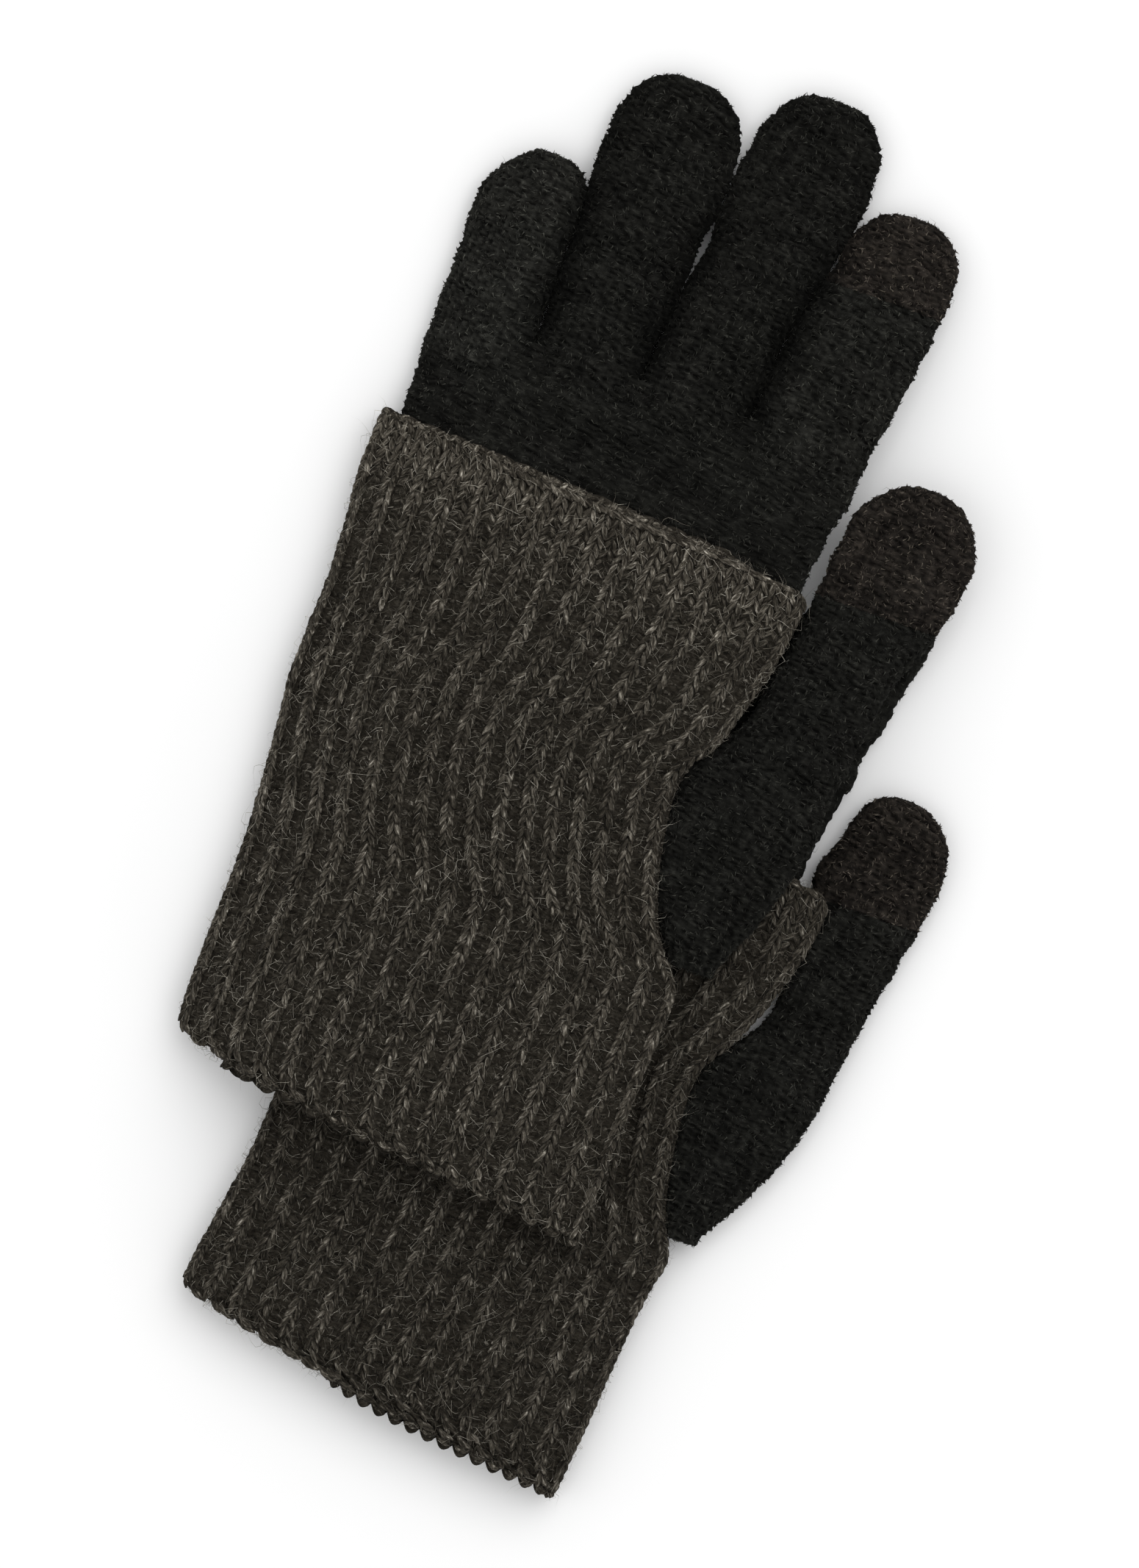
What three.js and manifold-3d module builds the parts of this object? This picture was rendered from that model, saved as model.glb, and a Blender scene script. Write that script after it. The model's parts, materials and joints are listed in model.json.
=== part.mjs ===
// A pair of two-in-one knitted gloves lying flat, one glove on the other.
// Each glove is a plush full-finger liner inside a ribbed wool fingerless sleeve.
// Millimetres. +Y runs to the fingertips, +X to the thumbs, +Z up from the surface they lie on.
import * as THREE from 'three';
import { mergeVertices } from 'three/addons/utils/BufferGeometryUtils.js';
import Module from 'manifold-3d';

const wasm = await Module();
wasm.setup();

// Driving dimensions
const sleeveWall = 2.2;        // ribbed wool, one layer
const linerWall = 1.2;         // plush knit, one layer
const layerGap = 0.7;          // air between sleeve and liner
const handGap = 4.4;           // room left for the hand between palm and back
const fingerThickness = 7;     // both layers of an empty finger lying together
const seamWidth = 1.5;         // linked seam inside the thumb side of a sleeve
const seamRoom = 3.4;          // how far the liner stays off that side of the sleeve
const sideRoom = 1.4;          // and off the other side, so that the sleeve can shift
const pieceGap = 0.4;          // between pieces that are knitted on to each other
const knuckleY = 88;           // where the upper glove's fingers fold
const lowerShift = [21, -62];  // the lower fingers lie this far from the upper ones
const squareness = 4;          // exponent of the flattened tube's section
const sleeveSides = 16;
const fingerSides = 12;
const seamSides = 8;
const tipTurns = [25, 48, 68, 84];   // degrees round the quarter circle that closes a fingertip
const tipFlattening = 0.6;     // exponent: a tip thins more slowly than it narrows
const thinnestTip = 0.4;       // share of the finger's thickness
const meetingShare = 0.03;     // of a row's length, left open where two pieces meet
const pocketTaper = 0.3;       // share of the hand's room by which the pocket closes at its end
const seamThickness = 1.8;

const gloveThickness = 2 * (sleeveWall + layerGap + linerWall) + handGap;
const gloveMid = gloveThickness / 2;
const fingerMid = fingerThickness / 2;

// The upper glove lies on the lower one and sinks past its fingertips and its left edge
const onSleeve = gloveThickness + 0.6;
const onFingers = fingerThickness + 0.4;
const offSleeveY = [-4, 64];   // where it comes down from the lower sleeve to the lower fingers
const offFingersY = [100, 148];      // and from those to the table
const offLeftX = [-78, -50];   // and where its left edge comes down to the table
const step = ([from, to], value) => THREE.MathUtils.smoothstep(value, from, to);
function drape(x, y) {
  const along = onSleeve + (onFingers - onSleeve) * step(offSleeveY, y) - onFingers * step(offFingersY, y);
  return along * step(offLeftX, x);
}
const flatOnTable = () => 0;

// Each sleeve row is the left and right edge of the flattened tube: x, y, x, y, then
// how far the liner stays inside the right edge. Rows run from the hem to the finger end.
const upper = {
  name: 'upper',
  lie: drape,
  sleeveRows: [
    [-75.5, -93.4, 28, -106.5, seamRoom],
    [-77, -80, 28.8, -84, seamRoom],
    [-76.6, -62, 29.4, -62, seamRoom],
    [-76, -45, 30.4, -45, seamRoom],
    [-76.8, -32, 27, -32, 0],
    [-78, -18, 21, -18, 0],
    [-79.4, -4, 18.6, -4, 0],
    [-78.6, 10, 19.6, 10, 2],
    [-78, 20, 22.6, 20, seamRoom],
    [-78.8, 33, 26.6, 33, seamRoom],
    [-80, 47, 28.6, 46, seamRoom],
    [-79, 60, 29, 56, seamRoom],
  ],
  wristRows: [0, 1, 2, 3],
  handRows: [3, 4, 5, 6, 7, 8, 9, 10, 11],
  wristEnd: 0.28,
  slit: [[17.6, 10], [15.5, 3], [15.6, -6], [18.4, -21], [24, -35], [31, -42]],
  knuckles: [-75, 30.6, knuckleY],
  shift: [0, 0],
  thumb: {
    root: [
      [31, 36, -36.5], [23.6, 41.5, -25], [20, 45.5, -13], [19.2, 47.8, -3],
      [20.8, 49.6, 6], [24.2, 51.2, 15], [27.4, 52.8, 26], [29.8, 55, 40], [31.2, 58.6, 53.6],
    ],
    tipRows: [[31.3, 58.8, 54], [32, 62, 66], [33.4, 62, 73]],
    tip: [48.5, 86.3],
    axisPoint: [16.4, 5],
    axisLean: 0.2,
  },
};

const lower = {
  name: 'lower',
  lie: flatOnTable,
  sleeveRows: [
    [-55.5, -149.5, 43, -163.7, seamRoom],
    [-54.5, -138, 45, -146, seamRoom],
    [-52.5, -126, 46.4, -129, seamRoom],
    [-50.4, -112, 48, -114, seamRoom],
    [-49.8, -102, 50.6, -103, 2],
    [-49.8, -91, 48.6, -91, 0],
    [-50, -78, 46.4, -78, 0],
    [-50.4, -66, 45.6, -66, 0],
    [-51, -54, 46.6, -54, 2],
    [-52, -41, 52.4, -41, seamRoom],
    [-53, -26, 56.4, -27, seamRoom],
    [-52.6, -13, 57.8, -17, seamRoom],
    [-52, -1, 57, -9.5, seamRoom],
  ],
  wristRows: [0, 1, 2, 3, 4],
  handRows: [4, 5, 6, 7, 8, 9, 10, 11, 12],
  wristEnd: 0.4,
  slit: [[45.6, -54], [42.8, -61], [42.6, -72], [44.4, -85], [46.8, -95], [52, -104]],
  knuckles: [-54, 51.6, knuckleY + lowerShift[1]],
  shift: lowerShift,
  thumb: {
    root: [
      [51.4, 54, -97], [49.2, 58.5, -90], [46.8, 64, -80], [45.6, 68, -70], [46.8, 70.4, -60],
      [50.8, 71.6, -50], [55.4, 73, -40], [57.8, 75, -30], [59, 77, -20], [59, 78.4, -13],
    ],
    tipRows: [[59, 78.6, -12.6], [56.4, 80, -4], [55.6, 80, 2]],
    tip: [67.5, 16.3],
    axisPoint: [43.8, -66],
    axisLean: 0.177,
  },
};

// Finger rows: left edge, right edge, y. They start at the knuckle line.
const fingerStart = knuckleY + pieceGap;
const fingers = {
  pinky: { rows: [[-75, -51.6, fingerStart], [-74.8, -51.8, 104], [-75, -52.2, 117]], tip: [-63, 131.5] },
  ring: {
    rows: [[-50.4, -25.4, fingerStart], [-50.6, -23.8, 107], [-51, -21.8, 124], [-50.5, -20.8, 140]],
    tip: [-35.5, 158.8],
  },
  middle: {
    rows: [[-24.2, 1.9, fingerStart], [-22.6, 3.2, 107], [-20.4, 7, 123], [-19.6, 11.2, 142]],
    tip: [-2.5, 165.3],
  },
  index: { rows: [[3.1, 31, fingerStart], [4.4, 34.2, 107], [8, 36.4, 123.6]], tip: null },
};
const indexTip = { rows: [[8.1, 36.5, 124], [11.4, 37, 132]], tip: [23.6, 145.6] };

// Materials
const cloth = (color, roughness) => new THREE.MeshStandardMaterial({ color, roughness, metalness: 0 });
const looks = {
  liner: () => cloth(0x1a1a18, 0.95),
  touch: () => cloth(0x2b2723, 0.9),
  wrist: () => cloth(0x1d1d1b, 0.95),
  wool: () => cloth(0x35322d, 1),
  seam: () => cloth(0x2a2824, 1),
};

// A ring of points round a flattened tube, in the upright plane through its two edges.
// The section is scaled so that its flat top and bottom are exactly halfHeight from the middle.
function sectionRing([leftX, leftY, rightX, rightY], mid, halfHeight, sides, lie) {
  const centre = new THREE.Vector2((leftX + rightX) / 2, (leftY + rightY) / 2);
  const half = new THREE.Vector2((rightX - leftX) / 2, (rightY - leftY) / 2);
  const soften = (v) => Math.sign(v) * Math.abs(v) ** (2 / squareness);
  const firstAngle = Math.PI / sides;
  const tallest = soften(Math.sin(Math.PI / 2 - (sides % 4 ? 0 : firstAngle)));
  const widest = soften(Math.cos(firstAngle));
  const ring = [];
  for (let i = 0; i < sides; i++) {
    const angle = firstAngle + (2 * Math.PI * i) / sides;
    const across = soften(Math.cos(angle)) / widest;
    const up = THREE.MathUtils.clamp(soften(Math.sin(angle)) / tallest, -1, 1);
    const x = centre.x + half.x * across;
    const y = centre.y + half.y * across;
    ring.push(new THREE.Vector3(x, y, lie(x, y) + mid + halfHeight * up));
  }
  return ring;
}

// The same ring drawn in by a depth, square to its own outline, and off its two sides.
const leftPart = [0.05, 0.4];  // shares of the width over which each side's room fades out
const rightPart = [0.6, 0.95];
function inset(ring, depth, lie, rightRoom = 0, leftRoom = 0) {
  const count = ring.length;
  const leftX = Math.min(...ring.map((p) => p.x));
  const rightX = Math.max(...ring.map((p) => p.x));
  return ring.map((point, i) => {
    const before = ring[(i + count - 1) % count];
    const after = ring[(i + 1) % count];
    const inward = new THREE.Vector2(before.z - after.z, after.x - before.x).normalize();
    const across = (point.x - leftX) / (rightX - leftX);
    const sideways = leftRoom * (1 - step(leftPart, across)) - rightRoom * step(rightPart, across);
    const x = point.x + inward.x * depth;
    const sink = lie(x + sideways, point.y) - lie(x, point.y);
    return new THREE.Vector3(x + sideways, point.y, point.z + inward.y * depth + sink);
  });
}

// A closed skin through rings that run towards +Y, capped at both ends.
class Skin {
  constructor() {
    this.points = [];
    this.faces = [];
  }

  addRing(ring) {
    const first = this.points.length;
    this.points.push(...ring);
    return ring.map((_, i) => first + i);
  }

  addPoint(point) {
    return this.addRing([point])[0];
  }

  quad(a, b, c, d) {
    this.faces.push([a, b, c], [a, c, d]);
  }

  // Every wall is split along the same diagonals, so nested walls stay parallel.
  wall(rings, facesOut = true) {
    for (let r = 0; r + 1 < rings.length; r++) {
      const [low, high] = [rings[r], rings[r + 1]];
      low.forEach((here, i) => {
        const next = (i + 1) % low.length;
        if (facesOut) this.quad(here, high[i], high[next], low[next]);
        else this.quad(here, low[next], high[next], high[i]);
      });
    }
  }

  fan(ring, towardsPlusY) {
    const middle = ring.reduce((sum, i) => sum.add(this.points[i]), new THREE.Vector3());
    const centre = this.addPoint(middle.divideScalar(ring.length));
    ring.forEach((here, i) => {
      const next = ring[(i + 1) % ring.length];
      this.faces.push(towardsPlusY ? [centre, next, here] : [centre, here, next]);
    });
  }

  rim(outer, inner, towardsPlusY) {
    const [a, b] = towardsPlusY ? [inner, outer] : [outer, inner];
    a.forEach((_, i) => {
      const next = (i + 1) % a.length;
      this.quad(a[i], a[next], b[next], b[i]);
    });
  }

  geometry() {
    const flat = this.points.flatMap((p) => [p.x, p.y, p.z]);
    const geometry = new THREE.BufferGeometry();
    geometry.setAttribute('position', new THREE.Float32BufferAttribute(flat, 3));
    geometry.setIndex(this.faces.flat());
    return geometry;
  }
}

function solidLoft(rings) {
  const skin = new Skin();
  const indexed = rings.map((ring) => skin.addRing(ring));
  skin.wall(indexed);
  skin.fan(indexed[0], false);
  skin.fan(indexed.at(-1), true);
  return skin.geometry();
}

function openTube(outerRings, innerRings) {
  const skin = new Skin();
  const outer = outerRings.map((ring) => skin.addRing(ring));
  const inner = innerRings.map((ring) => skin.addRing(ring));
  skin.wall(outer);
  skin.wall(inner, false);
  skin.rim(outer[0], inner[0], false);
  skin.rim(outer.at(-1), inner.at(-1), true);
  return skin.geometry();
}

// Open at the wrist, closed at the finger end: the pocket stops short of the last rings.
function blindPocket(outerRings, innerRings) {
  const skin = new Skin();
  const outer = outerRings.map((ring) => skin.addRing(ring));
  const inner = innerRings.map((ring) => skin.addRing(ring));
  skin.wall(outer);
  skin.wall(inner, false);
  skin.rim(outer[0], inner[0], false);
  skin.fan(inner.at(-1), false);
  skin.fan(outer.at(-1), true);
  return skin.geometry();
}

// Booleans
function toManifold(geometry) {
  const bare = geometry.clone();
  bare.deleteAttribute('normal');
  bare.deleteAttribute('uv');
  const merged = mergeVertices(bare, 1e-4);
  return new wasm.Manifold(new wasm.Mesh({
    numProp: 3,
    vertProperties: new Float32Array(merged.attributes.position.array),
    triVerts: new Uint32Array(merged.index.array),
  }));
}

function fromManifold(solid) {
  const mesh = solid.getMesh();
  const geometry = new THREE.BufferGeometry();
  geometry.setAttribute('position', new THREE.BufferAttribute(new Float32Array(mesh.vertProperties), 3));
  geometry.setIndex(new THREE.BufferAttribute(new Uint32Array(mesh.triVerts), 1));
  return geometry;
}

// Sub-parts
const sleeveSkin = (glove) => glove.sleeveRows.map(
  (row) => sectionRing(row, gloveMid, gloveMid, sleeveSides, glove.lie));

// A tube of ribbing with the side wall left open where the thumb comes through.
const slitCut = { beyondSleeve: 12, from: -5, height: 40 };
function sleeveBody(glove) {
  const outer = sleeveSkin(glove);
  const inner = outer.map((ring) => inset(ring, sleeveWall, glove.lie));
  const edge = new THREE.SplineCurve(glove.slit.map(([x, y]) => new THREE.Vector2(x, y)));
  const outline = edge.getPoints(10);
  const [top, bottom] = [outline[0], outline.at(-1)];
  const clearOfSleeve = bottom.x + slitCut.beyondSleeve;
  outline.push(new THREE.Vector2(clearOfSleeve, bottom.y), new THREE.Vector2(clearOfSleeve, top.y));
  const cutter = new THREE.ExtrudeGeometry(
    new THREE.Shape(outline), { depth: slitCut.height, bevelEnabled: false });
  cutter.translate(0, 0, slitCut.from);
  return fromManifold(toManifold(openTube(outer, inner)).subtract(toManifold(cutter)));
}

// The liner lies inside the sleeve, one small gap in from its wall.
const linerDepth = sleeveWall + layerGap;
function linerRings(glove, rowNumbers, extraDepth = 0) {
  const skin = sleeveSkin(glove);
  return rowNumbers.map((n) => inset(
    skin[n], linerDepth + extraDepth, glove.lie, glove.sleeveRows[n][4], sideRoom));
}

const between = (ringA, ringB, share) => ringA.map((p, i) => p.clone().lerp(ringB[i], share));

function linerHand(glove) {
  const [left, right, y] = glove.knuckles;
  const outer = linerRings(glove, glove.handRows);
  const lastRow = glove.sleeveRows[glove.handRows.at(-1)];
  const past = [0.45, 1].map((share) => sectionRing(
    [
      THREE.MathUtils.lerp(lastRow[0] + linerDepth + sideRoom, left, share),
      THREE.MathUtils.lerp(lastRow[1], y, share),
      THREE.MathUtils.lerp(lastRow[2] - linerDepth - seamRoom, right, share),
      THREE.MathUtils.lerp(lastRow[3], y, share),
    ],
    THREE.MathUtils.lerp(gloveMid, fingerMid, share), fingerMid, sleeveSides, glove.lie));
  outer[0] = between(outer[0], outer[1], meetingShare);
  const pocket = linerRings(glove, glove.handRows.slice(0, -2), linerWall);
  pocket[0] = between(pocket[0], pocket[1], meetingShare);
  [pocket[pocket.length - 1]] = linerRings(glove, [glove.handRows.at(-3)], linerWall + handGap * pocketTaper);
  return blindPocket([...outer, ...past], pocket);
}

function wristRib(glove) {
  const outer = linerRings(glove, glove.wristRows);
  const inner = linerRings(glove, glove.wristRows, linerWall);
  for (const rings of [outer, inner]) {
    rings[0] = between(rings[0], rings[1], glove.wristEnd);
    rings[rings.length - 1] = between(rings.at(-1), rings.at(-2), meetingShare);
  }
  return openTube(outer, inner);
}

// Rows along a finger, then a rounded end between the last row and the tip.
function fingerRings(rows, tip, mids, lie) {
  const rings = rows.map(([left, right, y], i) => sectionRing(
    [left, y, right, y], mids[i] ?? fingerMid, fingerMid, fingerSides, lie));
  if (!tip) return rings;
  const [left, right, y] = rows.at(-1);
  for (const turn of tipTurns) {
    const angle = THREE.MathUtils.degToRad(turn);
    const width = Math.cos(angle);
    const flat = Math.max(width ** tipFlattening, thinnestTip);
    const share = Math.sin(angle);
    const centre = THREE.MathUtils.lerp((left + right) / 2, tip[0], share);
    const half = ((right - left) / 2) * width;
    const ringY = THREE.MathUtils.lerp(y, tip[1], share);
    rings.push(sectionRing(
      [centre - half, ringY, centre + half, ringY], fingerMid * flat, fingerMid * flat, fingerSides, lie));
  }
  return rings;
}

const moved = (rows, [dx, dy]) => rows.map(([left, right, y]) => [left + dx, right + dx, y + dy]);
const movedPoint = (point, [dx, dy]) => point && [point[0] + dx, point[1] + dy];

function finger(glove, { rows, tip }) {
  return solidLoft(fingerRings(moved(rows, glove.shift), movedPoint(tip, glove.shift), [], glove.lie));
}

// The thumb comes out through the slit at mid height and settles on to what it lies on.
function thumbRoot(glove) {
  const { root } = glove.thumb;
  const mids = root.map((_, i) => THREE.MathUtils.lerp(gloveMid, fingerMid, step([1, root.length - 2], i)));
  return solidLoft(fingerRings(root, null, mids, glove.lie));
}

function thumbTip(glove) {
  const { tipRows, tip } = glove.thumb;
  return solidLoft(fingerRings(tipRows, tip, [], glove.lie));
}

// The linked seam is a flat cord inside the thumb side of the sleeve.
function sideSeam(glove, rowNumbers) {
  const skin = sleeveSkin(glove);
  const rings = rowNumbers.map((n) => {
    const rightX = Math.max(...skin[n].map((p) => p.x));
    const y = glove.sleeveRows[n][3];
    const outside = rightX - sleeveWall - pieceGap;
    const edges = [outside - seamWidth, y, outside, y];
    return sectionRing(edges, gloveMid, seamThickness / 2, seamSides, glove.lie);
  });
  return solidLoft(rings);
}

const pair = new THREE.Group();
function place(group, name, geometry, material) {
  const mesh = new THREE.Mesh(geometry, material);
  mesh.name = name;
  group.add(mesh);
}

for (const glove of [lower, upper]) {
  const group = new THREE.Group();
  const { name } = glove;
  const lastRow = glove.sleeveRows.length - 1;
  place(group, `${name}_liner_hand`, linerHand(glove), looks.liner());
  place(group, `${name}_wrist_rib`, wristRib(glove), looks.wrist());
  for (const [fingerName, shape] of Object.entries(fingers)) {
    place(group, `${name}_${fingerName}_finger`, finger(glove, shape), looks.liner());
  }
  place(group, `${name}_index_touch_tip`, finger(glove, indexTip), looks.touch());
  place(group, `${name}_thumb`, thumbRoot(glove), looks.liner());
  place(group, `${name}_thumb_touch_tip`, thumbTip(glove), looks.touch());
  place(group, `${name}_sleeve`, sleeveBody(glove), looks.wool());
  place(group, `${name}_seam_above_thumb`, sideSeam(glove, [lastRow - 3, lastRow - 2, lastRow - 1, lastRow]),
    looks.seam());
  place(group, `${name}_seam_below_thumb`, sideSeam(glove, [0, 1, 2, 3]), looks.seam());
  pair.add(group);
}

export default pair;
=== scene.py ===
import json
import math

import bpy
import numpy as np
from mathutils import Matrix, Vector


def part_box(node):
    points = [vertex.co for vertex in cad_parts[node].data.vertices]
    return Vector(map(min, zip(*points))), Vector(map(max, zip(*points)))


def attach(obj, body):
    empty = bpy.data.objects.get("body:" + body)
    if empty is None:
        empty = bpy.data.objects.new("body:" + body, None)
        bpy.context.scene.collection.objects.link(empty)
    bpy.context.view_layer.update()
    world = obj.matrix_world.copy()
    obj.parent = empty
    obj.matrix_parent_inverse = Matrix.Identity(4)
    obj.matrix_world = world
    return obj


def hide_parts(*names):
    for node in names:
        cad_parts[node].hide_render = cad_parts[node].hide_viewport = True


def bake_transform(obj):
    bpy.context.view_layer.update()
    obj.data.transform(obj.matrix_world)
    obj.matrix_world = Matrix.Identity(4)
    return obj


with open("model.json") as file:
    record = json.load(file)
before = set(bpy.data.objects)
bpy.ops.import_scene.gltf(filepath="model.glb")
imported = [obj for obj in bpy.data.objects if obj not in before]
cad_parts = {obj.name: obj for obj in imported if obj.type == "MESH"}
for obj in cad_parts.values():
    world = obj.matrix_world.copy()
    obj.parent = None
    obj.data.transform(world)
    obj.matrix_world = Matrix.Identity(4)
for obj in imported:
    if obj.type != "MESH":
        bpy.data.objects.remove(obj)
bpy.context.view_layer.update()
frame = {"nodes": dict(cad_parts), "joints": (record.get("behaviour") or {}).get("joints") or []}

mm = 0.001
rng = np.random.default_rng(7)


# small helpers

def smoothstep(low, high, value):
    t = np.clip((value - low) / (high - low), 0.0, 1.0)
    return t * t * (3 - 2 * t)


def within(start, full, fading, end, value):
    # rises from 0 to 1 between the first two places and falls back between the last two
    return smoothstep(start, full, value) * (1 - smoothstep(fading, end, value))


def mix(a, b, share):
    return a + (b - a) * share


def linear(hexColour):
    channels = [int(hexColour[i:i + 2], 16) / 255 for i in (1, 3, 5)]
    return [c / 12.92 if c <= 0.04045 else ((c + 0.055) / 1.055) ** 2.4 for c in channels] + [1.0]


def addNode(tree, kind, links=None, **settings):
    # a node with its settings; links sets sockets to a value, an output, or a node's first output
    node = tree.nodes.new(kind)
    for name, value in settings.items():
        setattr(node, name, value)
    for name, value in (links or {}).items():
        socket = node.inputs[name]
        if isinstance(value, bpy.types.Node):
            value = value.outputs[0]
        if isinstance(value, bpy.types.NodeSocket):
            tree.links.new(value, socket)
        else:
            socket.default_value = value
    return node


def makeMesh(name, points, faces, material):
    mesh = bpy.data.meshes.new(name)
    mesh.from_pydata([tuple(p) for p in points], [], faces)
    mesh.materials.append(material)
    mesh.polygons.foreach_set("use_smooth", [True] * len(mesh.polygons))
    mesh.update()
    piece = bpy.data.objects.new(name, mesh)
    bpy.context.scene.collection.objects.link(piece)
    return piece


def gridFaces(corners):
    # the faces between the rows and columns of a grid of point numbers
    sides = corners[:-1, :-1], corners[1:, :-1], corners[1:, 1:], corners[:-1, 1:]
    return np.stack(sides, axis=2).reshape(-1, 4).tolist()


def storeValues(piece, name, values, kind="FLOAT"):
    attribute = piece.data.attributes.new(name, kind, "POINT")
    key = "vector" if kind == "FLOAT_VECTOR" else "value"
    attribute.data.foreach_set(key, np.asarray(values, np.float32).ravel())


# camera

camera = {
    "turn": 19.5,             # degrees, the gloves lean this much in the frame
    "aim": (-9.0, -6.9),      # mm, the point at the middle of the frame
    "frameHeight": 366.9,     # mm, how much of the table the long side takes in
    "aimHeight": 7.0,         # mm above the table, where the frame's height is measured
    "lens": 200.0,            # mm
    "sensor": 36.0,           # mm
}


def makeCamera(values):
    data = bpy.data.cameras.new("camera")
    data.lens = values["lens"]
    data.sensor_width = values["sensor"]
    seen = bpy.data.objects.new("camera", data)
    bpy.context.scene.collection.objects.link(seen)
    away = values["frameHeight"] * mm * values["lens"] / values["sensor"]
    seen.location = (values["aim"][0] * mm, values["aim"][1] * mm,
                     values["aimHeight"] * mm + away)
    seen.rotation_euler = (0, 0, math.radians(values["turn"]))
    bpy.context.scene.camera = seen


makeCamera(camera)
print("camera made")


# how the gloves lie, from the CAD boxes

def nodeHeight(name):
    low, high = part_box(name)
    return (high.z - low.z) / mm


gloveThickness = nodeHeight("lower_sleeve")
gloveMid = gloveThickness / 2
fingerThickness = nodeHeight("lower_middle_finger")
fingerMid = fingerThickness / 2

lie = {
    "onSleeve": gloveThickness + 0.6,      # mm under the upper glove where it lies on a sleeve
    "onFingers": fingerThickness + 0.4,    # and where it lies on fingers
    "offSleeve": (-4, 64),                 # y, where it comes down from one to the other
    "offFingers": (100, 148),              # y, and from there to the table
    "offLeft": (-78, -50),                 # x, where its left edge comes down to the table
}


def drape(x, y):
    # height in mm under the upper glove, which sinks past the lower one's edges
    along = mix(lie["onSleeve"], lie["onFingers"], smoothstep(*lie["offSleeve"], y))
    along = along - lie["onFingers"] * smoothstep(*lie["offFingers"], y)
    return along * smoothstep(*lie["offLeft"], x)


def flatOnTable(x, y):
    return np.zeros_like(x * 1.0 + y * 0.0)


class NodeOutline:
    # left and right edge of a CAD node at any y, in mm
    def __init__(self, *names):
        corners, edges, offset = [], [], 0
        for name in names:
            mesh = frame["nodes"][name].data
            corners.append(np.array([vertex.co for vertex in mesh.vertices]) / mm)
            edges.append(np.array([edge.vertices[:] for edge in mesh.edges]) + offset)
            offset += len(mesh.vertices)
        self.points = np.concatenate(corners)
        ends = np.concatenate(edges)
        self.a, self.b = self.points[ends[:, 0]], self.points[ends[:, 1]]
        self.low, self.high = self.points.min(0), self.points.max(0)

    def corner(self, acrossWeight, alongWeight):
        # the outline's point that lies furthest that way
        score = self.points[:, 0] * acrossWeight + self.points[:, 1] * alongWeight
        return self.points[score.argmax()]

    def edgesAt(self, y):
        y = min(max(y, self.low[1] + 0.01), self.high[1] - 0.01)
        crossing = (self.a[:, 1] - y) * (self.b[:, 1] - y) <= 0
        if not crossing.any():           # in the small gap between two nodes
            return self.edgesAt(y - 0.7)
        a, b = self.a[crossing], self.b[crossing]
        span = np.where(np.abs(b[:, 1] - a[:, 1]) < 1e-9, 1.0, b[:, 1] - a[:, 1])
        x = a[:, 0] + (b[:, 0] - a[:, 0]) * np.clip((y - a[:, 1]) / span, 0, 1)
        return x.min(), x.max()

    def smoothEdges(self, ys, reach=5.0):
        # the same, with the CAD's straight runs eased over a few millimetres
        steps = np.linspace(-reach, reach, 9)
        weights = np.cos(steps / reach * math.pi / 2.2)
        weights /= weights.sum()
        low, high = self.low[1] + 0.3, self.high[1] - 0.3
        sides = []
        for y in ys:
            share = min(1.0, (y - low) / reach, (high - y) / reach) if low < y < high else 0.0
            sides.append([self.edgesAt(y + step * share) for step in steps])
        sides = np.array(sides)
        return sides[:, :, 0] @ weights, sides[:, :, 1] @ weights


def soften(value, squareness):
    return np.sign(value) * np.abs(value) ** (2 / squareness)


def unit(vectors):
    return vectors / (np.linalg.norm(vectors, axis=-1, keepdims=True) + 1e-9)


def lengthAlong(x, z):
    # running length round a section, from 0 at its first point
    return np.concatenate([[0], np.cumsum(np.hypot(np.diff(x), np.diff(z)))])


# materials

def newMaterial(name, roughness, sheen):
    material = bpy.data.materials.new(name)
    material.use_nodes = True
    tree = material.node_tree
    shader = tree.nodes["Principled BSDF"]
    shader.inputs["Roughness"].default_value = roughness
    shader.inputs["IOR"].default_value = 1.54      # wool and cotton fibre
    shader.inputs["Specular IOR Level"].default_value = 0.04
    shader.inputs["Sheen Weight"].default_value = sheen
    shader.inputs["Sheen Roughness"].default_value = 0.55
    shader.inputs["Sheen Tint"].default_value = linear("#8d8a84")
    return material, tree


def fibreColour(tree, factor, stops):
    # the fibre's tones, scaled by the mesh's shade attribute: painted shade in folds, furrows and pits,
    # and painted light on some parts
    ramp = addNode(tree, "ShaderNodeValToRGB", {"Fac": factor})
    elements = ramp.color_ramp.elements
    while len(elements) < len(stops):
        elements.new(0.5)
    for element, (place, colour) in zip(elements, stops):
        element.position = place
        element.color = linear(colour)
    shade = addNode(tree, "ShaderNodeAttribute", attribute_name="shade").outputs["Fac"]
    dimmed = addNode(tree, "ShaderNodeVectorMath", {0: ramp, "Scale": shade}, operation="SCALE")
    return dimmed.outputs[0]


def finishMaterial(material, colour, relief, strength, depth):
    # gives it its colour, and its relief as bump, depth in mm
    tree = material.node_tree
    shader = tree.nodes["Principled BSDF"]
    bump = addNode(tree, "ShaderNodeBump",
                   {"Height": relief, "Strength": strength, "Distance": depth * mm})
    tree.links.new(colour, shader.inputs["Base Color"])
    tree.links.new(bump.outputs["Normal"], shader.inputs["Normal"])
    return material


woolColours = {
    "deep": "#0f0d0a", "dark": "#25221d", "body": "#413d36", "light": "#6c675e", "bleached": "#a5a095",
}


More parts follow.
